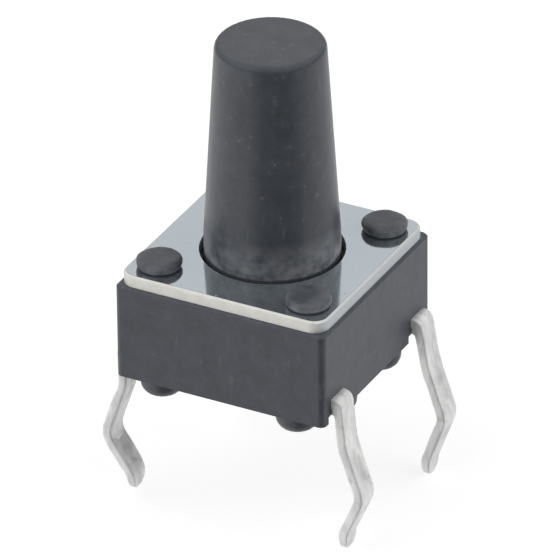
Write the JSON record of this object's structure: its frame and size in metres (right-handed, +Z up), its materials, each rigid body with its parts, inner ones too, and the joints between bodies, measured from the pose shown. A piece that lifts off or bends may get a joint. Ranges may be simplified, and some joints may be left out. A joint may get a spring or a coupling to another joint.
{
  "type": "tactile push button switch",
  "caption": "Square through-hole push button switch with a tall tapered button, a plated cover and bent pins.",
  "frame": {"origin": "on the circuit board's top face, under the middle of the switch", "axes": "+Z up along the button, away from the board; the pins leave the two sides that face along X"},
  "size_m": [0.0077, 0.006, 0.013],
  "materials": {
    "housing_plastic": "moulded heat-proof plastic, satin",
    "button_plastic": "moulded plastic, satin, slightly polished",
    "cover_metal": "bright tin-plated steel sheet",
    "dome_metal": "thin spring steel",
    "pin_metal": "dull bright tin plating"
  },
  "bodies": {
    "housing": {"base": "housing_plastic", "cover_plate": "cover_metal", "snap_dome": "dome_metal", "centre_terminal": "pin_metal", "outer_terminal": "pin_metal"},
    "button": {"button": "button_plastic"}
  },
  "joints": [
    {"name": "button_press", "type": "slide", "parent": "housing", "child": "button", "axis": [0, 0, -1], "range_m": [0, 0.00025], "stiffness_N_per_m": 2000, "springref_m": -0.0003, "deforming": ["snap_dome"]}
  ]
}
